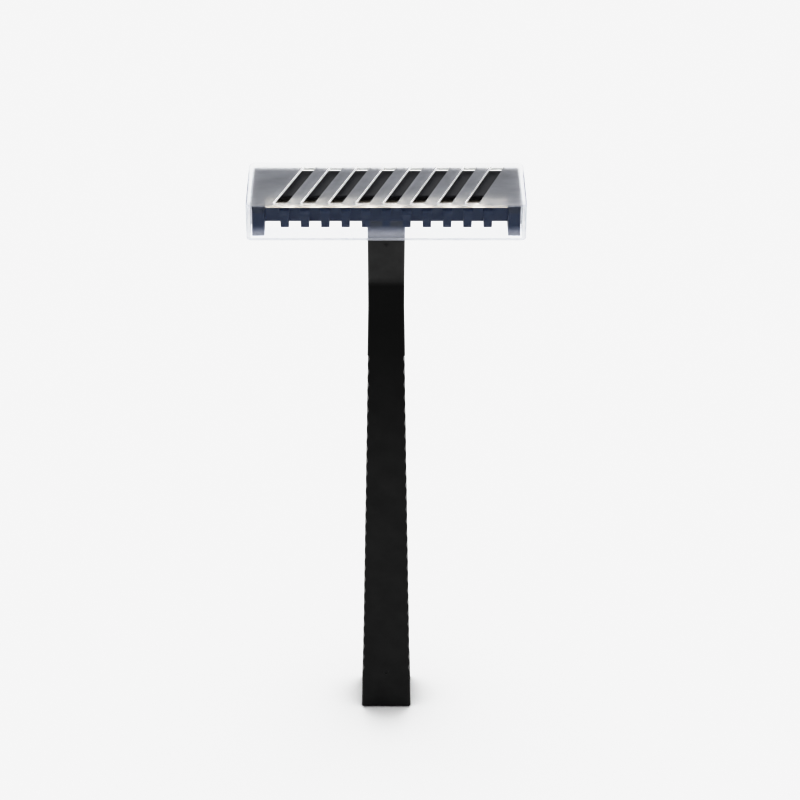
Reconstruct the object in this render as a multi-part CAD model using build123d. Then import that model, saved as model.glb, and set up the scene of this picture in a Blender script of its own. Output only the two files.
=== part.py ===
from build123d import *
import os
from math import cos, radians, sin, tan

# Single-edge safety razor: moulded handle, guard base with an open comb, blade, cap and lift-off cover.
#
# Frame: millimetres. +Z runs up the grip, -Y is the shaving side and X runs along the blade. The origin is
# the middle of the flat end of the handle, on which the razor stands.
#
# The head is modelled flat in a frame of its own: its Y = 0 line is the front lip of the cap, its Z = 0
# plane is the top of the cap and its -Y points over the cutting edge. place_head() tilts and moves it.

# ---- Handle ----------------------------------------------------------------------------------------------
GRIP_HEIGHT = 88.45           # flat end to the bend where the neck starts
FOOT_WIDTH, FOOT_DEPTH = 9.38, 10.0
NECK_WIDTH = 6.04
NECK_DEPTH_LOW, NECK_DEPTH_TOP = 5.8, 4.9
NECK_TAPER_END = 84.1         # height at which the grip is down to the neck's width
NECK_LEAN = 18.0              # degrees forward of the grip
NECK_LENGTH = 14.8            # along the front of the neck, bend to shoulder
CREASE_RADIUS, HEEL_RADIUS = 1.0, 6.0
LONG_EDGE_RADIUS = 0.45
FOOT_CHAMFER = 0.3

RIDGE_COUNT = 28              # grip grooves down each side
RIDGE_PITCH = 2.5
RIDGE_FIRST = 6.4             # height of the lowest groove's lower edge
GROOVE_CHORD = 1.0
GROOVE_SAG = 0.096            # depth of a groove below the wave's middle line
RIDGE_STEP = 0.06             # the ridges' crests lie this far inside the plain sides

CORE_WALL = 1.9               # side walls left beside the hollow in the back
CORE_DEPTH = 2.6
CORE_FIRST, CORE_PITCH, CORE_COUNT = 9.0, 14.4, 5
CORE_RIB = 1.4                # cross ribs between the pockets
CORE_CORNER = 0.5

GATE_MARK_RADIUS, GATE_MARK_HEIGHT, GATE_MARK_UP = 0.35, 0.1, 8.2
DIMPLE_RADIUS, DIMPLE_DEPTH, DIMPLE_HEIGHT = 0.45, 0.08, 8.4

# ---- Head ------------------------------------------------------------------------------------------------
HEAD_TILT = 20.0              # degrees, front edge down
HEAD_WIDTH = 42.1
CHEEK = 1.9                   # thickness of each end block
HEAD_REAR = 6.5
COMB_FRONT = 2.5
COMB_BOTTOM = -4.4
CAP_THICKNESS = 0.8
BLADE_THICKNESS = 0.1
SEAM = -1.45                  # where the cap's end blocks meet the base's
BLADE_TIP, BLADE_REAR = 1.84, 4.6
BLADE_BEVEL = 0.45
EDGE_THICKNESS = 0.02

BAR_FRONT, BAR_DEPTH = 1.15, 1.75
BAR_TOP_RADIUS, BAR_BOTTOM_RADIUS = 0.2, 0.5
FLOOR_THICKNESS = 1.2
LEDGE_GAP = 0.1               # between the blade's rear edge and the ledge behind it
REAR_LIP = 0.8                # thickness of the wall under the rear of the floor
TOOTH_COUNT, TOOTH_PITCH = 11, 3.21
TOOTH_TOP_WIDTH, TOOTH_BOTTOM_WIDTH = 1.55, 1.25
TOOTH_TOP = -1.35
TOOTH_TAPER = (-1.75, -2.65)  # a tooth narrows between these two heights
TOOTH_NOSE_RADIUS, TOOTH_TOE_RADIUS = 0.6, 0.3
TOOTH_ROOT = 0.3              # how far each tooth reaches into the guard bar
BLOCK_BOTTOM_FRONT, BLOCK_BOTTOM_REAR = -6.25, -4.3
BLOCK_SLOPE_START = -4.0      # below this the block's front face leans back
BLOCK_SLOPE = 0.1
BLOCK_FLARE = 0.27            # how far each block leans out at its lowest point
BLOCK_FOOT_REAR = 0.5         # the block's underside rises behind this line
BLOCK_CORNER_RADIUS = 0.3

SHOULDER_SETBACK = 1.2        # the neck's front behind the cap's lip
SHOULDER_DROP = -4.3
TENON_WIDTH, TENON_DEPTH, TENON_HEIGHT = 3.6, 3.0, 1.8
BOSS_WIDTH = 8.6
PIN_RADIUS, PIN_CLEARANCE = 0.8, 0.05
PIN_X = (-15.5, -6.5, 6.5, 15.5)
PIN_Y = 3.0
PIN_HEAD_RADIUS, PIN_HEAD_HEIGHT, PIN_HEAD_EDGE = 1.3, 0.5, 0.35
RIB_X = (-11.0, 11.0)
RIB_WIDTH, RIB_BOTTOM = 1.0, -3.4
NUB_RADIUS, NUB_HEIGHT, NUB_Y = 0.55, 0.25, -1.75
CAP_LIP_RADIUS, CAP_NOSE_RADIUS, CAP_REAR_RADIUS = 0.2, 0.4, 0.3
BLADE_END_GAP = 0.1           # clearance between the blade's ends and the end blocks
SOCKET_GAP = 0.1              # clearance over the tenon

# ---- Cover -----------------------------------------------------------------------------------------------
COVER_WALL, COVER_TOP = 0.65, 0.65
COVER_GAP = 0.25              # clearance at the ends and the rear
COVER_LIFT_GAP = 0.3          # clearance above the cap
COVER_FRONT = 3.6
COVER_BOTTOM = -6.1
COVER_FLARE = 0.3             # how far each end wall leans out at the rim
COVER_CORNER = 0.9
COVER_EDGE = 0.35
SLOT_COUNT, SLOT_PITCH, SLOT_WIDTH = 8, 4.27, 2.27
SLOT_SHIFT = -0.25            # the row of slots is this far off the middle
SLOT_LEAN = 26.0              # degrees from the front-to-rear direction
SLOT_FRONT, SLOT_REAR, SLOT_CORNER = -2.8, 6.2, 0.12
CATCH_LENGTH, CATCH_HEIGHT, CATCH_PROUD = 3.0, 0.45, 0.12
CATCH_UP = 0.4                # bottom of each catch above the cover's rim

# ---- Modelling aids --------------------------------------------------------------------------------------
TINY = 0.01                   # half the width of the slice in which near() looks for an edge
OVERLAP = 0.5                 # how far two joined solids, or a cutter and its target, run into each other
BEYOND = 40.0                 # past the end of everything

# ---- Derived ---------------------------------------------------------------------------------------------
HALF_HEAD = HEAD_WIDTH / 2
HALF_GAP = HALF_HEAD - CHEEK  # inner faces of the end blocks
GRIP_FRONT = -FOOT_DEPTH / 2
BLADE_TOP = -CAP_THICKNESS
SEAT = BLADE_TOP - BLADE_THICKNESS
FLOOR_BOTTOM = SEAT - FLOOR_THICKNESS
TENON_FRONT = SHOULDER_SETBACK + (NECK_DEPTH_TOP - TENON_DEPTH) / 2

lean, tilt = radians(NECK_LEAN), radians(HEAD_TILT)
SHOULDER_Y = GRIP_FRONT - NECK_LENGTH * sin(lean)
SHOULDER_Z = GRIP_HEIGHT + NECK_LENGTH * cos(lean)
HEAD_Y = SHOULDER_Y - SHOULDER_SETBACK * cos(tilt) + SHOULDER_DROP * sin(tilt)
HEAD_Z = SHOULDER_Z - SHOULDER_SETBACK * sin(tilt) - SHOULDER_DROP * cos(tilt)


def place_head(shape):
    """Move a shape from the head's own flat frame to its place on the neck."""
    return Location((0, HEAD_Y, HEAD_Z), (HEAD_TILT, 0, 0)) * shape


def block(x0, x1, y0, y1, z0, z1):
    """A plain box between two corners."""
    return Pos((x0 + x1) / 2, (y0 + y1) / 2, (z0 + z1) / 2) * Box(x1 - x0, y1 - y0, z1 - z0)


def pin(x, y, z0, z1, radius):
    """An upright cylinder between two heights."""
    return Pos(x, y, (z0 + z1) / 2) * Cylinder(radius, z1 - z0)


def side_prism(points, x0, x1):
    """A prism along X from an outline of (y, z) points."""
    face = make_face(Polyline([(0, y, z) for y, z in points], close=True))
    return Pos(x0, 0, 0) * extrude(face, amount=x1 - x0, dir=(1, 0, 0))


def flared(half_top, half_bottom, top, bottom):
    """A long bar along Y whose ends in X lean from one half width at its top to another at its bottom."""
    corners = [(-half_top, top), (half_top, top), (half_bottom, bottom), (-half_bottom, bottom)]
    return extrude(Plane.XZ * make_face(Polyline(corners, close=True)), amount=BEYOND, both=True)


def near(edges, **limits):
    """The edges whose middle is at the given x, y or z, or inside a given (low, high) range of it."""
    def inside(edge, axis, limit):
        low, high = limit if isinstance(limit, tuple) else (limit - TINY, limit + TINY)
        return low <= getattr(edge.center(), axis.upper()) <= high
    return [edge for edge in edges if all(inside(edge, *item) for item in limits.items())]


# ---- Handle ----------------------------------------------------------------------------------------------
def handle_side_outline():
    """The handle seen from its side, with the crease in front and the heel of the neck behind."""
    reach = 1.5 * NECK_LENGTH
    along = (-sin(lean), cos(lean))
    back = (cos(lean), sin(lean))
    narrowing = (NECK_DEPTH_LOW - NECK_DEPTH_TOP) / NECK_LENGTH
    top_depth = NECK_DEPTH_LOW - narrowing * reach
    front_top = (GRIP_FRONT + reach * along[0], GRIP_HEIGHT + reach * along[1])
    heel = (GRIP_FRONT + NECK_DEPTH_LOW, GRIP_HEIGHT + NECK_DEPTH_LOW * tan(lean / 2))
    points = [
        (GRIP_FRONT, 0),
        (GRIP_FRONT, GRIP_HEIGHT),
        front_top,
        (front_top[0] + top_depth * back[0], front_top[1] + top_depth * back[1]),
        heel,
        (-GRIP_FRONT, 0),
    ]
    face = Plane.YZ * make_face(Polyline(points, close=True))
    crease = face.vertices().sort_by(lambda v: abs(v.Z - GRIP_HEIGHT) + abs(v.Y - GRIP_FRONT))[0]
    face = fillet(crease, CREASE_RADIUS)
    bend = face.vertices().sort_by(lambda v: abs(v.Z - heel[1]) + abs(v.Y - heel[0]))[0]
    return fillet(bend, HEEL_RADIUS)


def half_width(z):
    """Half the plain width of the handle at a height."""
    share = min(z / NECK_TAPER_END, 1)
    return (FOOT_WIDTH + (NECK_WIDTH - FOOT_WIDTH) * share) / 2


def ridge_wave(side):
    """What one side's ridges cut away: its inner boundary is a chain of tangent arcs."""
    ridge_chord = RIDGE_PITCH - GROOVE_CHORD
    ridge_sag = GROOVE_SAG * ridge_chord / GROOVE_CHORD
    z = RIDGE_FIRST

    def line(height, out=0.0):
        return (side * (half_width(height) - RIDGE_STEP - ridge_sag + out), height)

    curves = []
    for i in range(RIDGE_COUNT):
        floor, rise, crest = z + GROOVE_CHORD / 2, z + GROOVE_CHORD, z + GROOVE_CHORD + ridge_chord / 2
        curves.append(ThreePointArc(line(z), line(floor, -GROOVE_SAG), line(rise)))
        z += RIDGE_PITCH
        if i < RIDGE_COUNT - 1:
            curves.append(ThreePointArc(line(rise), line(crest, ridge_sag), line(z)))
    low, high = line(RIDGE_FIRST), line(z - ridge_chord)
    outside = side * FOOT_WIDTH
    curves.append(Polyline([high, (outside, high[1]), (outside, low[1]), low]))
    return extrude(Plane.XZ * make_face(Curve() + curves), amount=FOOT_DEPTH, both=True)


def tenon_block(bottom, top):
    """The tenon on top of the neck, in the head's frame; the socket in the guard base is cut with it too."""
    return block(-TENON_WIDTH / 2, TENON_WIDTH / 2, TENON_FRONT, TENON_FRONT + TENON_DEPTH, bottom, top)


def core_pocket(low):
    """One pocket moulded into the back of the grip, from the given height up to the next cross rib."""
    high = low + CORE_PITCH - CORE_RIB
    left, right = -half_width(low) + CORE_WALL, half_width(low) - CORE_WALL
    top_left, top_right = -half_width(high) + CORE_WALL, half_width(high) - CORE_WALL
    corners = [(left, low), (right, low), (top_right, high), (top_left, high)]
    outline = make_face(Polyline(corners, close=True))
    outline = fillet(outline.vertices(), CORE_CORNER)
    back_slope = (FOOT_DEPTH - NECK_DEPTH_LOW) / GRIP_HEIGHT
    back_y = -GRIP_FRONT - back_slope * (low + high) / 2
    return extrude(Plane.XZ.offset(CORE_DEPTH - back_y) * outline, amount=-2 * CORE_DEPTH)


def make_handle():
    """Grip, neck and tenon in one moulding, with ridged sides and a cored-out back."""
    tall = HEAD_Z + BEYOND
    front = [
        (-FOOT_WIDTH / 2, 0), (FOOT_WIDTH / 2, 0),
        (NECK_WIDTH / 2, NECK_TAPER_END), (NECK_WIDTH / 2, tall),
        (-NECK_WIDTH / 2, tall), (-NECK_WIDTH / 2, NECK_TAPER_END),
    ]
    body = extrude(Plane.XZ * make_face(Polyline(front, close=True)), amount=BEYOND, both=True)
    body &= extrude(handle_side_outline(), amount=FOOT_WIDTH, both=True)

    def runs_up_a_corner(edge):
        middle, along = edge.center(), edge.tangent_at(0.5)
        on_side = abs(abs(middle.X) - half_width(middle.Z)) < TINY
        return on_side and abs(along.Z) > abs(along.X) + abs(along.Y)

    body = fillet([e for e in body.edges() if runs_up_a_corner(e)], LONG_EDGE_RADIUS)
    body = chamfer(near(body.edges(), z=0), FOOT_CHAMFER)
    for side in (-1, 1):
        body -= ridge_wave(side)

    body -= place_head(block(-BEYOND, BEYOND, -BEYOND, BEYOND, SHOULDER_DROP, BEYOND))
    body += place_head(tenon_block(SHOULDER_DROP - OVERLAP, SHOULDER_DROP + TENON_HEIGHT))
    for i in range(CORE_COUNT):
        body -= core_pocket(CORE_FIRST + i * CORE_PITCH)

    mark_y = GRIP_FRONT - GATE_MARK_UP * sin(lean)
    mark_z = GRIP_HEIGHT + GATE_MARK_UP * cos(lean)
    gate_mark = Cylinder(GATE_MARK_RADIUS, 2 * GATE_MARK_HEIGHT)
    body += Location((0, mark_y, mark_z), (90 - NECK_LEAN, 0, 0)) * gate_mark
    dimple = Cylinder(DIMPLE_RADIUS, 2 * DIMPLE_DEPTH)
    return body - Pos(0, GRIP_FRONT, DIMPLE_HEIGHT) * Rot(90, 0, 0) * dimple


# ---- Guard base ------------------------------------------------------------------------------------------
def comb_tooth(x):
    """One tooth: rounded nose, a little narrower at its foot."""
    root = -BAR_FRONT + TOOTH_ROOT
    top, foot = TOOTH_TOP_WIDTH / 2, TOOTH_BOTTOM_WIDTH / 2
    nose = [(root, TOOTH_TOP), (-COMB_FRONT, TOOTH_TOP), (-COMB_FRONT, COMB_BOTTOM), (root, COMB_BOTTOM)]
    tooth = side_prism(nose, -top, top)
    tooth = fillet(near(tooth.edges(), y=-COMB_FRONT, z=TOOTH_TOP), TOOTH_NOSE_RADIUS)
    tooth = fillet(near(tooth.edges(), y=-COMB_FRONT, z=COMB_BOTTOM), TOOTH_TOE_RADIUS)
    taper = Polyline([
        (-top, 0), (top, 0), (top, TOOTH_TAPER[0]), (foot, TOOTH_TAPER[1]), (foot, 2 * COMB_BOTTOM),
        (-foot, 2 * COMB_BOTTOM), (-foot, TOOTH_TAPER[1]), (-top, TOOTH_TAPER[0]),
    ], close=True)
    tooth &= extrude(Plane.XZ * make_face(taper), amount=2 * COMB_FRONT, both=True)
    return Pos(x, 0, 0) * tooth


def end_block(side):
    """One lower end block: it closes the side of the head, level with the teeth, and leans out a little."""
    outline = [
        (-COMB_FRONT, SEAM), (-COMB_FRONT, BLOCK_SLOPE_START),
        (-COMB_FRONT + BLOCK_SLOPE, BLOCK_BOTTOM_FRONT), (BLOCK_FOOT_REAR, BLOCK_BOTTOM_FRONT),
        (HEAD_REAR, BLOCK_BOTTOM_REAR), (HEAD_REAR, SEAM),
    ]
    low, high = sorted((0, side * 2 * HALF_HEAD))
    solid = side_prism(outline, low, high)
    solid &= flared(HALF_HEAD, HALF_HEAD + BLOCK_FLARE, SEAM, BLOCK_BOTTOM_FRONT)
    solid -= flared(HALF_GAP, HALF_GAP + BLOCK_FLARE, SEAM, BLOCK_BOTTOM_FRONT)
    across = [e for e in solid.edges() if abs(e.tangent_at(0.5).X) > 0.9 and e.center().Z < SEAM - TINY]
    return fillet(across, BLOCK_CORNER_RADIUS)


def make_guard_base():
    """Blade seat, guard bar, comb, end blocks and the socket for the neck."""
    body = block(-HALF_GAP, HALF_GAP, -BAR_FRONT, HEAD_REAR, FLOOR_BOTTOM, SEAT)
    body += block(-HALF_GAP, HALF_GAP, BLADE_REAR + LEDGE_GAP, HEAD_REAR, SEAT, BLADE_TOP)
    reach = HALF_GAP + BLOCK_FLARE + TINY
    body += block(-reach, reach, -BAR_FRONT, HEAD_REAR, FLOOR_BOTTOM, SEAM)
    body += block(-reach, reach, -BAR_FRONT, -BAR_FRONT + BAR_DEPTH, COMB_BOTTOM, FLOOR_BOTTOM)
    body = fillet(near(body.edges(), y=-BAR_FRONT, x=0, z=SEAT), BAR_TOP_RADIUS)
    body = fillet(near(body.edges(), y=-BAR_FRONT, x=0, z=COMB_BOTTOM), BAR_BOTTOM_RADIUS)
    body += block(-BOSS_WIDTH / 2, BOSS_WIDTH / 2, 0, HEAD_REAR, SHOULDER_DROP, FLOOR_BOTTOM)
    body += block(-reach, reach, HEAD_REAR - REAR_LIP, HEAD_REAR, RIB_BOTTOM, FLOOR_BOTTOM)
    for x in RIB_X:
        body += block(x - RIB_WIDTH / 2, x + RIB_WIDTH / 2, 0, HEAD_REAR - TINY, RIB_BOTTOM, FLOOR_BOTTOM)
    for i in range(TOOTH_COUNT):
        body += comb_tooth((i - (TOOTH_COUNT - 1) / 2) * TOOTH_PITCH)
    for side in (-1, 1):
        body += end_block(side)

    body -= tenon_block(SHOULDER_DROP, SHOULDER_DROP + TENON_HEIGHT + SOCKET_GAP)
    for x in PIN_X:
        body -= pin(x, PIN_Y, FLOOR_BOTTOM - OVERLAP, BLADE_TOP, PIN_RADIUS + PIN_CLEARANCE)
    return place_head(body)


# ---- Blade -----------------------------------------------------------------------------------------------
def make_blade():
    """Thin steel strip with a ground edge in front and a hole for each pin of the cap."""
    middle = (BLADE_TOP + SEAT) / 2
    outline = [
        (-BLADE_TIP, middle - EDGE_THICKNESS / 2), (-BLADE_TIP, middle + EDGE_THICKNESS / 2),
        (-BLADE_TIP + BLADE_BEVEL, BLADE_TOP), (BLADE_REAR, BLADE_TOP),
        (BLADE_REAR, SEAT), (-BLADE_TIP + BLADE_BEVEL, SEAT),
    ]
    half = HALF_GAP - BLADE_END_GAP
    body = side_prism(outline, -half, half)
    for x in PIN_X:
        body -= pin(x, PIN_Y, SEAT - OVERLAP, BLADE_TOP + OVERLAP, PIN_RADIUS + 2 * PIN_CLEARANCE)
    return place_head(body)


# ---- Cap -------------------------------------------------------------------------------------------------
def make_cap():
    """Top plate over the blade, with end blocks, locating nubs and the pins that hold the head together."""
    body = block(-HALF_HEAD, HALF_HEAD, 0, HEAD_REAR, -CAP_THICKNESS, 0)
    body = fillet(near(body.edges(), y=0, z=0), CAP_LIP_RADIUS)
    for side in (-1, 1):
        inner, outer = sorted((side * HALF_GAP, side * HALF_HEAD))
        end = block(inner, outer, -COMB_FRONT, HEAD_REAR, SEAM, 0)
        body += fillet(near(end.edges(), y=-COMB_FRONT, z=0), CAP_NOSE_RADIUS)
    body = fillet(near(body.edges(), y=HEAD_REAR, z=0), CAP_REAR_RADIUS)
    nub = scale(Sphere(NUB_RADIUS), by=(1, 1, NUB_HEIGHT / NUB_RADIUS))
    for side in (-1, 1):
        body += Pos(side * (HALF_HEAD - CHEEK / 2), NUB_Y, 0) * nub
    for x in PIN_X:
        body += pin(x, PIN_Y, FLOOR_BOTTOM - PIN_HEAD_HEIGHT / 2, -CAP_THICKNESS / 2, PIN_RADIUS)
        head = pin(x, PIN_Y, FLOOR_BOTTOM - PIN_HEAD_HEIGHT, FLOOR_BOTTOM, PIN_HEAD_RADIUS)
        body += fillet(near(head.edges(), z=FLOOR_BOTTOM - PIN_HEAD_HEIGHT), PIN_HEAD_EDGE)
    return place_head(body)


# ---- Cover -----------------------------------------------------------------------------------------------
def make_cover():
    """Slotted lift-off cover: a thin box open at the bottom that drops over the head."""
    inner_x, inner_rear = HALF_HEAD + COVER_GAP, HEAD_REAR + COVER_GAP
    outer_x, outer_rear = inner_x + COVER_WALL, inner_rear + COVER_WALL
    top = COVER_LIFT_GAP + COVER_TOP
    wide = outer_x + COVER_FLARE

    def upright(solid):
        return [e for e in solid.edges() if abs(e.tangent_at(0.5).Z) > 0.9]

    body = block(-wide, wide, -COVER_FRONT, outer_rear, COVER_BOTTOM, top)
    body &= flared(outer_x, wide, top, COVER_BOTTOM)
    body = fillet(upright(body), COVER_CORNER)
    body = fillet(near(body.edges(), z=top), COVER_EDGE)
    hollow_front = -COVER_FRONT + COVER_WALL
    hollow = block(-wide, wide, hollow_front, inner_rear, COVER_BOTTOM, COVER_LIFT_GAP)
    hollow &= flared(inner_x, inner_x + COVER_FLARE, COVER_LIFT_GAP, COVER_BOTTOM)
    body -= fillet(upright(hollow), COVER_CORNER - COVER_WALL)

    drift = tan(radians(SLOT_LEAN))
    for i in range(SLOT_COUNT):
        middle = SLOT_SHIFT + (i - (SLOT_COUNT - 1) / 2) * SLOT_PITCH
        left, right = middle - SLOT_WIDTH / 2, middle + SLOT_WIDTH / 2
        slot = make_face(Polyline([
            (left + SLOT_FRONT * drift, SLOT_FRONT), (right + SLOT_FRONT * drift, SLOT_FRONT),
            (right + SLOT_REAR * drift, SLOT_REAR), (left + SLOT_REAR * drift, SLOT_REAR),
        ], close=True))
        slot = fillet(slot.vertices(), SLOT_CORNER)
        body -= Pos(0, 0, COVER_LIFT_GAP) * extrude(slot, amount=2 * COVER_TOP)

    for side in (-1, 1):
        low = COVER_BOTTOM + CATCH_UP
        face = inner_x + COVER_FLARE
        near_face, far_face = sorted((side * (face - CATCH_PROUD), side * (face + COVER_WALL / 2)))
        body += block(near_face, far_face, 0, CATCH_LENGTH, low, low + CATCH_HEIGHT)
    return place_head(body)


# ---- Write the parts -------------------------------------------------------------------------------------
PARTS = {
    "handle": make_handle,
    "guard_base": make_guard_base,
    "blade": make_blade,
    "cap": make_cap,
    "cover": make_cover,
}

os.makedirs("parts", exist_ok=True)
for name, make in PARTS.items():
    part = make()
    export_step(part, f"parts/{name}.step")
    print(name, "volume", round(part.volume, 1), "mm3, centre", [round(c, 2) for c in part.center()])
print("head origin", round(HEAD_Y, 2), round(HEAD_Z, 2))
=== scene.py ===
from math import cos, radians, sin

import bpy
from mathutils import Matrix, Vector

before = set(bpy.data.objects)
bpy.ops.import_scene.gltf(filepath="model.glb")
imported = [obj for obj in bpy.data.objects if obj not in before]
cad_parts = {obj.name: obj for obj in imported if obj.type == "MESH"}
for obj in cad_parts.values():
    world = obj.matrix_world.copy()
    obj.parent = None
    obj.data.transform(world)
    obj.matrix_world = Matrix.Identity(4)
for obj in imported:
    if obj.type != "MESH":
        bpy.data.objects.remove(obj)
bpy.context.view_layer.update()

MM = 0.001

# ---- Camera ----------------------------------------------------------------------------------------------
CAMERA_PLACE = (0.0, -241.4 * MM, 186.95 * MM)
CAMERA_PITCH = 27.0                   # degrees below the horizon
CAMERA_LENS, SENSOR_WIDTH = 68.92, 36.0
CAMERA_SHIFT = 0.0172                 # the razor stands a little left of the middle

# ---- Studio ----------------------------------------------------------------------------------------------
FLOOR_SIZE = 6.0
FLOOR_COLOUR = (0.86, 0.86, 0.86)
BACKDROP_COLOUR = (0.93, 0.93, 0.93)
SKY_BRIGHTNESS = 1.2
FRONT_BRIGHTNESS = 1.05               # of the sky on the camera's side
KEY_SIZE, KEY_POWER = 1.2, 5.0
KEY_PLACE = (0.0, 0.35, 1.20)

WHITE_LEVEL = 1.4                     # scene brightness that the tone curve ends at
TOP_SHOWN = 0.92
TONE_CURVE = (                        # scene brightness and what is shown for it
    (0.02, 0.001), (0.05, 0.011), (0.1, 0.04), (0.3, 0.21),
    (0.6, 0.54), (0.9, 0.85), (1.1, 0.907), (1.3, 0.918),
)

# ---- Head frame ------------------------------------------------------------------------------------------
HEAD_TILT = radians(20.0)
HEAD_ORIGIN = (0.0, -12.17 * MM, 106.16 * MM)
HEAD_UP = (0.0, -sin(HEAD_TILT), cos(HEAD_TILT))

# ---- Handle ----------------------------------------------------------------------------------------------
GRIP_FADE_FROM, GRIP_FADE_TO, GRIP_TOP_GAIN = 45.5 * MM, 82.5 * MM, 0.3     # painted shade: the grip darkens upwards
NECK_START, NECK_BLEND, NECK_GAIN = 87.5 * MM, 2 * MM, 2.0                  # and a painted highlight makes the neck lighter

# ---- Black plastic ---------------------------------------------------------------------------------------
MOTTLE_SCALE, GRAIN_SCALE, SCUFF_SCALE = 260.0, 5200.0, 2600.0     # per metre, as every scale below
SCUFF_STRETCH = (1.0, 1.0, 0.06)      # scuffs run up the razor
GRAIN_DEPTH, SCUFF_DEPTH = 0.008 * MM, 0.004 * MM
SCUFF_DULLING = 0.12                  # added to the roughness
RUBBED_WIDTH = 0.25 * MM
GUARD_DARK, GUARD_LIGHT = (0.012, 0.018, 0.036, 1.0), (0.018, 0.026, 0.048, 1.0)
CAP_DARK, CAP_LIGHT = (0.014, 0.015, 0.019, 1.0), (0.022, 0.023, 0.028, 1.0)
WORN_COLOUR, WORN_SHARE = (0.06, 0.06, 0.062, 1.0), 0.35
MOULDED_IOR = 1.38

# ---- Blade -----------------------------------------------------------------------------------------------
BEVEL_FRONT, BEVEL_BACK = -1.42 * MM, -1.38 * MM      # the ground edge ends between these
ROLLED_SCALE, ROLLED_STRETCH = 9000.0, (0.03, 1.0, 1.0)         # lines along the blade
GROUND_SCALE, GROUND_STRETCH = 16000.0, (1.0, 0.05, 0.05)       # lines across it, on the bevel
STAIN_SCALE, LINE_DEPTH = 320.0, 0.004 * MM
STEEL_ROUGHNESS, BEVEL_DULLING = (0.24, 0.36), 0.08
STEEL_LIGHT, STEEL_DARK = (0.73, 0.685, 0.61, 1.0), (0.61, 0.57, 0.505, 1.0)

# ---- Cover -----------------------------------------------------------------------------------------------
PLATE_HAZE, WALL_HAZE = 0.30, 0.033   # share of the light that each surface scatters
PLATE_BACK, WALL_BACK = 0.42, 0.9     # share of that haze sent back to where it came from
RIM_FULL, RIM_START, RIM_HAZE = -4.8 * MM, -3.3 * MM, 0.20
LIP_FULL, LIP_START, LIP_SHARE = -5.9 * MM, -5.4 * MM, 0.65     # the very edge is clearer again
SLOTS_X, SLOTS_Y = 20.0 * MM, (-3.0 * MM, 6.4 * MM)             # the slots lie inside these
SLOT_GLOW_SHARE = 0.95                       # share of the painted highlight on the wall of each slot that faces the shaving side, the bright one
HAZE_COLOUR = (1.0, 0.99, 0.965, 1.0)
PLATE_COLOUR, WALL_COLOUR = (0.87, 0.905, 1.0, 1.0), (0.42, 0.58, 1.0, 1.0)
CLEAR_COLOUR, EDGE_ON_COLOUR = (1.0, 0.996, 0.985, 1.0), (0.56, 0.58, 0.62, 1.0)
HEAD_ON_SHINE = 0.008
BLUR_ROUGHNESS, BLUR_IOR = 0.24, 1.45
TOP_BENT_SHARE, RIM_BENT_SHARE = 0.6, 0.3    # of the clear light that is bent and blurred
BENT_FROM_Y, BENT_FULL_Y = -3.0 * MM, -2.4 * MM     # the top's front strip doesn't bend light
PLATE_ABOVE = 0.2 * MM                # the whole of the top plate is above this, and the cap below it
LED_SIDEWAYS, LED_UP = 0.6, 0.8       # how far the shading of the bright slot walls leans upwards
CUT_GAIN = 1.45                       # of those walls: above 1, a painted highlight in place of light led inside the plate
FLOW_SCALE, FLOW_STRETCH = 150.0, (1.0, 2.5, 2.5)     # faint moulding streaks in the haze
EDGE_ON_SHINE, COVER_ROUGHNESS = 0.6, 0.12

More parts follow.
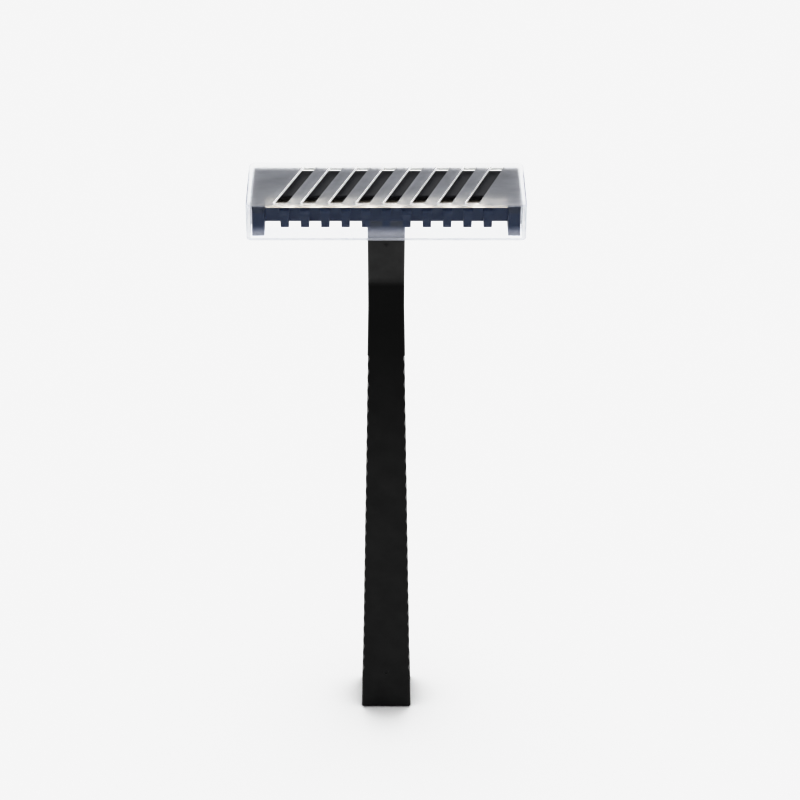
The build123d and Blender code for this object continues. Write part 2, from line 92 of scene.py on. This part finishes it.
# ---- Node helpers ----------------------------------------------------------------------------------------
class Nodes:
    """A short way to write a node tree: each method adds one node and returns an output socket."""

    def __init__(self, tree):
        self.tree = tree
        tree.nodes.clear()

    def add(self, kind, inputs=(), **settings):
        node = self.tree.nodes.new(kind)
        for name, value in settings.items():
            setattr(node, name, value)
        for name, value in dict(inputs).items():
            socket = node.inputs[name]
            if isinstance(value, bpy.types.NodeSocket):
                self.tree.links.new(value, socket)
            else:
                socket.default_value = value
        return node

    def math(self, operation, a, b=0.0, clamp=False):
        return self.add("ShaderNodeMath", {0: a, 1: b}, operation=operation, use_clamp=clamp).outputs[0]

    def ramp(self, value, low, high, to_low=0.0, to_high=1.0, kind="LINEAR"):
        """value from low..high, mapped to to_low..to_high and kept inside it."""
        inputs = {"Value": value, "From Min": low, "From Max": high, "To Min": to_low, "To Max": to_high}
        return self.add("ShaderNodeMapRange", inputs, interpolation_type=kind).outputs["Result"]

    def mix(self, share, a, b):
        node = self.add("ShaderNodeMix", data_type="RGBA")
        sockets = {s.identifier: s for s in node.inputs}
        for name, value in (("Factor_Float", share), ("A_Color", a), ("B_Color", b)):
            if isinstance(value, bpy.types.NodeSocket):
                self.tree.links.new(value, sockets[name])
            else:
                sockets[name].default_value = value
        return next(s for s in node.outputs if s.identifier == "Result_Color")

    def noise(self, where, scale, detail=2.0, roughness=0.5):
        inputs = {"Vector": where, "Scale": scale, "Detail": detail, "Roughness": roughness}
        return self.add("ShaderNodeTexNoise", inputs).outputs["Fac"]

    def stretched(self, where, scale):
        inputs = {"Vector": where, "Scale": scale}
        return self.add("ShaderNodeMapping", inputs).outputs["Vector"]

    def bump(self, height, strength, distance, normal=None):
        inputs = {"Height": height, "Strength": strength, "Distance": distance}
        if normal is not None:
            inputs["Normal"] = normal
        return self.add("ShaderNodeBump", inputs).outputs["Normal"]

    def place(self):
        """The point in the razor's own frame, in metres."""
        return self.add("ShaderNodeTexCoord").outputs["Object"]

    def head_place(self):
        """The point in the head's flat frame, in metres: -Y over the cutting edge, Z out of the cap."""
        inputs = {"Vector": self.place(), "Location": HEAD_ORIGIN, "Rotation": (HEAD_TILT, 0, 0)}
        return self.add("ShaderNodeMapping", inputs, vector_type="TEXTURE").outputs["Vector"]

    def split(self, vector):
        return self.add("ShaderNodeSeparateXYZ", {"Vector": vector}).outputs

    def edge_share(self, radius, low, high):
        """0 on flat faces and up to 1 on the sharp edges, where a part rubs."""
        rounded = self.add("ShaderNodeBevel", {"Radius": radius}, samples=4).outputs[0]
        flat = self.add("ShaderNodeNewGeometry").outputs["Normal"]
        dot = self.add("ShaderNodeVectorMath", {0: rounded, 1: flat}, operation="DOT_PRODUCT")
        return self.ramp(dot.outputs["Value"], low, high, 1.0, 0.0)

    def scaled(self, vector, factor):
        return self.add("ShaderNodeVectorMath", {0: vector, "Scale": factor}, operation="SCALE").outputs[0]

    def head_normal(self):
        """The face's outward normal in the head's flat frame, whichever side of the face is looked at."""
        geometry = self.add("ShaderNodeNewGeometry").outputs
        side = self.math("SUBTRACT", 1.0, self.math("MULTIPLY", geometry["Backfacing"], 2.0))
        outward = self.scaled(geometry["True Normal"], side)
        inputs = {"Vector": outward, "Angle": -HEAD_TILT}
        return self.split(self.add("ShaderNodeVectorRotate", inputs, rotation_type="X_AXIS").outputs[0])

    def within(self, value, low, high):
        """1 between two values, 0 outside them."""
        inside = self.math("GREATER_THAN", value, low)
        return self.math("MULTIPLY", inside, self.math("LESS_THAN", value, high))

    def slot_walls(self):
        """1 in the part of the cover's top that holds the slots, so on their walls; 0 elsewhere."""
        place = self.split(self.head_place())
        high = self.math("GREATER_THAN", place["Z"], PLATE_ABOVE)
        across = self.within(place["X"], -SLOTS_X, SLOTS_X)
        among = self.math("MULTIPLY", across, self.within(place["Y"], *SLOTS_Y))
        return self.math("MULTIPLY", high, among)

    def lit_from_above(self, side):
        """A normal leaning so that light comes from above the cap, as it does along a clear plate."""
        facing = self.add("ShaderNodeNewGeometry").outputs["True Normal"]
        level = self.scaled(facing, LED_SIDEWAYS)
        inputs = {0: level, 1: tuple(side * LED_UP * part for part in HEAD_UP)}
        return self.add("ShaderNodeVectorMath", inputs, operation="ADD").outputs[0]

    def painted_reflection_by_height(self, here):
        """Painted reflection up the handle: a colour gain of 1 at its foot, painted shade near the top of
        the grip and a painted highlight on the neck.
        """
        z = self.split(here)["Z"]
        grip = self.ramp(z, GRIP_FADE_FROM, GRIP_FADE_TO, 1.0, GRIP_TOP_GAIN, "SMOOTHSTEP")
        neck = self.ramp(z, NECK_START, NECK_START + NECK_BLEND, 0.0, NECK_GAIN)
        return self.math("MAXIMUM", grip, neck)

    def output(self, shader):
        self.add("ShaderNodeOutputMaterial", {"Surface": shader})


def material(name):
    made = bpy.data.materials.new(name)
    made.use_nodes = True
    return made, Nodes(made.node_tree)


def grey(value, alpha=1.0):
    return (value, value, value, alpha)


# ---- Materials -------------------------------------------------------------------------------------------
def moulded_black(name, dark, light, roughness, painted_by_height=False):
    """Black moulded plastic: faint mottling, fine grain, hairline scuffs and slightly rubbed edges, and on
    the handle painted shade and highlight by height.
    """
    made, n = material(name)
    here = n.place()
    mottle = n.noise(here, MOTTLE_SCALE, 4.0, 0.6)
    grain = n.noise(here, GRAIN_SCALE, 2.0)
    drag = n.noise(n.stretched(here, SCUFF_STRETCH), SCUFF_SCALE, 3.0, 0.6)
    scuff = n.ramp(drag, 0.62, 0.72)
    rubbed = n.edge_share(RUBBED_WIDTH, 0.93, 0.995)
    worn = n.math("MULTIPLY", rubbed, n.ramp(mottle, 0.35, 0.65), clamp=True)
    colour = n.mix(n.ramp(mottle, 0.3, 0.7), dark, light)
    # painted shade and highlight: the handle's colour is scaled darker up the grip and lighter on the neck
    if painted_by_height:
        colour = n.scaled(colour, n.painted_reflection_by_height(here))
    colour = n.mix(n.math("MULTIPLY", worn, WORN_SHARE), colour, WORN_COLOUR)
    rough = n.ramp(mottle, 0.3, 0.7, roughness - 0.04, roughness + 0.05)
    rough = n.math("ADD", rough, n.math("MULTIPLY", scuff, SCUFF_DULLING), clamp=True)
    surface = n.bump(grain, 0.25, GRAIN_DEPTH)
    surface = n.bump(scuff, 0.2, SCUFF_DEPTH, surface)
    shader = n.add("ShaderNodeBsdfPrincipled", {
        "Base Color": colour, "Roughness": rough, "Normal": surface, "IOR": MOULDED_IOR,
    })
    n.output(shader.outputs[0])
    return made


def blade_steel():
    """Stainless strip: lengthwise rolling lines, and cross-ground bevel along the edge."""
    made, n = material("blade_steel")
    here = n.head_place()
    y = n.split(here)["Y"]
    rolled = n.noise(n.stretched(here, ROLLED_STRETCH), ROLLED_SCALE, 3.0, 0.6)
    ground = n.noise(n.stretched(here, GROUND_STRETCH), GROUND_SCALE, 2.0, 0.6)
    bevel = n.ramp(y, BEVEL_FRONT, BEVEL_BACK, 1.0, 0.0)
    stain = n.noise(here, STAIN_SCALE, 3.0, 0.6)
    lines = n.mix(bevel, rolled, ground)
    colour = n.mix(n.ramp(stain, 0.3, 0.75), STEEL_LIGHT, STEEL_DARK)
    rough = n.ramp(lines, 0.3, 0.7, *STEEL_ROUGHNESS)
    rough = n.math("ADD", rough, n.math("MULTIPLY", bevel, BEVEL_DULLING))
    surface = n.bump(lines, 0.15, LINE_DEPTH)
    shader = n.add("ShaderNodeBsdfPrincipled", {
        "Base Color": colour, "Metallic": 1.0, "Roughness": rough, "Normal": surface,
    })
    n.output(shader.outputs[0])
    return made


def frosted_cover():
    """Thin clear plastic with a milky haze. Light goes through it, scatters in it or shines off it.

    The walls let light straight through. The top bends and blurs part of it, and the rim a little.
    """
    made, n = material("cover_frosted")
    here = n.head_place()
    z = n.split(here)["Z"]
    normal = n.head_normal()
    slots = n.slot_walls()
    plate = n.math("MAXIMUM", n.ramp(n.math("ABSOLUTE", normal["Z"]), 0.3, 0.9), slots)
    rim = n.ramp(z, RIM_FULL, RIM_START, 1.0, 0.0, "SMOOTHSTEP")
    rim = n.math("MULTIPLY", rim, n.ramp(z, LIP_FULL, LIP_START, LIP_SHARE, 1.0))
    flow = n.noise(n.stretched(here, FLOW_STRETCH), FLOW_SCALE, 4.0, 0.55)
    haze = n.math("ADD", n.ramp(plate, 0.0, 1.0, WALL_HAZE, PLATE_HAZE), n.math("MULTIPLY", rim, RIM_HAZE))
    haze = n.math("MULTIPLY", haze, n.ramp(flow, 0.3, 0.7, 0.85, 1.15))

    facing = n.add("ShaderNodeLayerWeight", {"Blend": 0.5}).outputs["Facing"]
    through = n.mix(n.math("POWER", facing, 3.0), CLEAR_COLOUR, EDGE_ON_COLOUR)
    sharp = n.add("ShaderNodeBsdfTransparent", {"Color": through})
    bending = {"Color": through, "Roughness": BLUR_ROUGHNESS, "IOR": BLUR_IOR}
    bent = n.add("ShaderNodeBsdfRefraction", bending)
    top_share = n.ramp(n.split(here)["Y"], BENT_FROM_Y, BENT_FULL_Y, 0.0, TOP_BENT_SHARE)
    on_top = n.math("GREATER_THAN", z, PLATE_ABOVE)
    bent_share = n.math("MULTIPLY", plate, n.ramp(on_top, 0.0, 1.0, RIM_BENT_SHARE, top_share))
    clear = n.add("ShaderNodeMixShader", {0: bent_share, 1: sharp.outputs[0], 2: bent.outputs[0]})
    onward = n.add("ShaderNodeBsdfTranslucent", {"Color": HAZE_COLOUR})
    milk = n.mix(n.math("MAXIMUM", plate, rim), WALL_COLOUR, PLATE_COLOUR)
    back = n.add("ShaderNodeBsdfDiffuse", {"Color": milk})
    back_share = n.ramp(plate, 0.0, 1.0, WALL_BACK, PLATE_BACK)
    milky = n.add("ShaderNodeMixShader", {0: back_share, 1: onward.outputs[0], 2: back.outputs[0]})
    body = n.add("ShaderNodeMixShader", {0: haze, 1: clear.outputs[0], 2: milky.outputs[0]})

    # painted highlight: the bright slot walls get a colour gain above 1 in place of light led inside the
    # plate
    led_on = n.add("ShaderNodeBsdfTranslucent", {"Color": grey(CUT_GAIN), "Normal": n.lit_from_above(-1.0)})
    led_back = n.add("ShaderNodeBsdfDiffuse", {"Color": grey(CUT_GAIN), "Normal": n.lit_from_above(1.0)})
    glow = n.add("ShaderNodeMixShader", {0: 0.5, 1: led_on.outputs[0], 2: led_back.outputs[0]})
    lit = n.math("MULTIPLY", n.math("LESS_THAN", n.math("ABSOLUTE", normal["Z"]), 0.05), slots)
    cut = n.math("MULTIPLY", n.math("MULTIPLY", lit, n.math("GREATER_THAN", normal["X"], 0.3)), SLOT_GLOW_SHARE)
    body = n.add("ShaderNodeMixShader", {0: cut, 1: body.outputs[0], 2: glow.outputs[0]})

    shine = n.math("MULTIPLY_ADD", n.math("POWER", facing, 5.0), EDGE_ON_SHINE)
    shine.node.inputs[2].default_value = HEAD_ON_SHINE
    gloss = n.add("ShaderNodeBsdfGlossy", {"Color": grey(1.0), "Roughness": COVER_ROUGHNESS})
    n.output(n.add("ShaderNodeMixShader", {0: shine, 1: body.outputs[0], 2: gloss.outputs[0]}).outputs[0])
    return made


# ---- Studio ----------------------------------------------------------------------------------------------
def make_camera():
    data = bpy.data.cameras.new("camera")
    data.lens, data.sensor_width, data.shift_x = CAMERA_LENS, SENSOR_WIDTH, CAMERA_SHIFT
    data.clip_start, data.clip_end = 0.01, 20.0
    camera = bpy.data.objects.new("camera", data)
    camera.location = CAMERA_PLACE
    camera.rotation_euler = (radians(90.0 - CAMERA_PITCH), 0.0, 0.0)
    bpy.context.scene.collection.objects.link(camera)
    bpy.context.scene.camera = camera


def make_floor():
    half = FLOOR_SIZE / 2
    mesh = bpy.data.meshes.new("floor")
    corners = [(-half, -half, 0), (half, -half, 0), (half, half, 0), (-half, half, 0)]
    mesh.from_pydata(corners, [], [(0, 1, 2, 3)])
    made, n = material("floor_white")
    tone = n.noise(n.place(), 9.0, 3.0)
    colour = n.mix(tone, (*FLOOR_COLOUR, 1.0), tuple(c * 0.985 for c in FLOOR_COLOUR) + (1.0,))
    n.output(n.add("ShaderNodeBsdfPrincipled", {
        "Base Color": colour, "Roughness": 0.7, "Specular IOR Level": 0.2,
    }).outputs[0])
    mesh.materials.append(made)
    floor = bpy.data.objects.new("floor", mesh)
    bpy.context.scene.collection.objects.link(floor)


def make_light():
    """A large soft lamp above and behind, and a pale sky that is dimmer on the camera's side."""
    data = bpy.data.lights.new("key", "AREA")
    data.shape, data.size, data.energy = "SQUARE", KEY_SIZE, KEY_POWER
    lamp = bpy.data.objects.new("key", data)
    lamp.location = KEY_PLACE
    lamp.visible_camera = False
    lamp.rotation_euler = (-Vector(KEY_PLACE)).to_track_quat("-Z", "Y").to_euler()
    bpy.context.scene.collection.objects.link(lamp)

    world = bpy.data.worlds.new("studio")
    world.use_nodes = True
    bpy.context.scene.world = world
    n = Nodes(world.node_tree)
    towards = n.split(n.add("ShaderNodeTexCoord").outputs["Generated"])["Y"]
    level = n.ramp(towards, -0.8, 0.2, FRONT_BRIGHTNESS, SKY_BRIGHTNESS, "SMOOTHSTEP")
    seen = n.add("ShaderNodeLightPath").outputs["Is Camera Ray"]
    sky = n.add("ShaderNodeBackground", {"Color": grey(1.0), "Strength": level})
    plain = n.add("ShaderNodeBackground", {"Color": (*BACKDROP_COLOUR, 1.0), "Strength": 1.0})
    both = n.add("ShaderNodeMixShader", {0: seen, 1: sky.outputs[0], 2: plain.outputs[0]})
    n.add("ShaderNodeOutputWorld", {"Surface": both.outputs[0]})


def set_contrast():
    """A plain view with a photographer's slightly crushed blacks."""
    view = bpy.context.scene.view_settings
    view.view_transform = "Standard"
    view.use_curve_mapping = True
    mapping = view.curve_mapping
    mapping.white_level = (WHITE_LEVEL,) * 3
    curve = mapping.curves[3]
    curve.points[-1].location = (1.0, TOP_SHOWN)
    for level, shown in TONE_CURVE:
        curve.points.new(level / WHITE_LEVEL, shown)
    mapping.update()


# ---- Build -----------------------------------------------------------------------------------------------
FINISHES = {
    "handle": moulded_black("handle_black", grey(0.015), grey(0.022), 0.38, painted_by_height=True),
    "guard_base": moulded_black("guard_black", GUARD_DARK, GUARD_LIGHT, 0.36),
    "cap": moulded_black("cap_black", CAP_DARK, CAP_LIGHT, 0.36),
    "blade": blade_steel(),
    "cover": frosted_cover(),
}

for node, finish in FINISHES.items():
    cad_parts[node].material_slots[0].material = finish

make_camera()
make_floor()
make_light()
set_contrast()
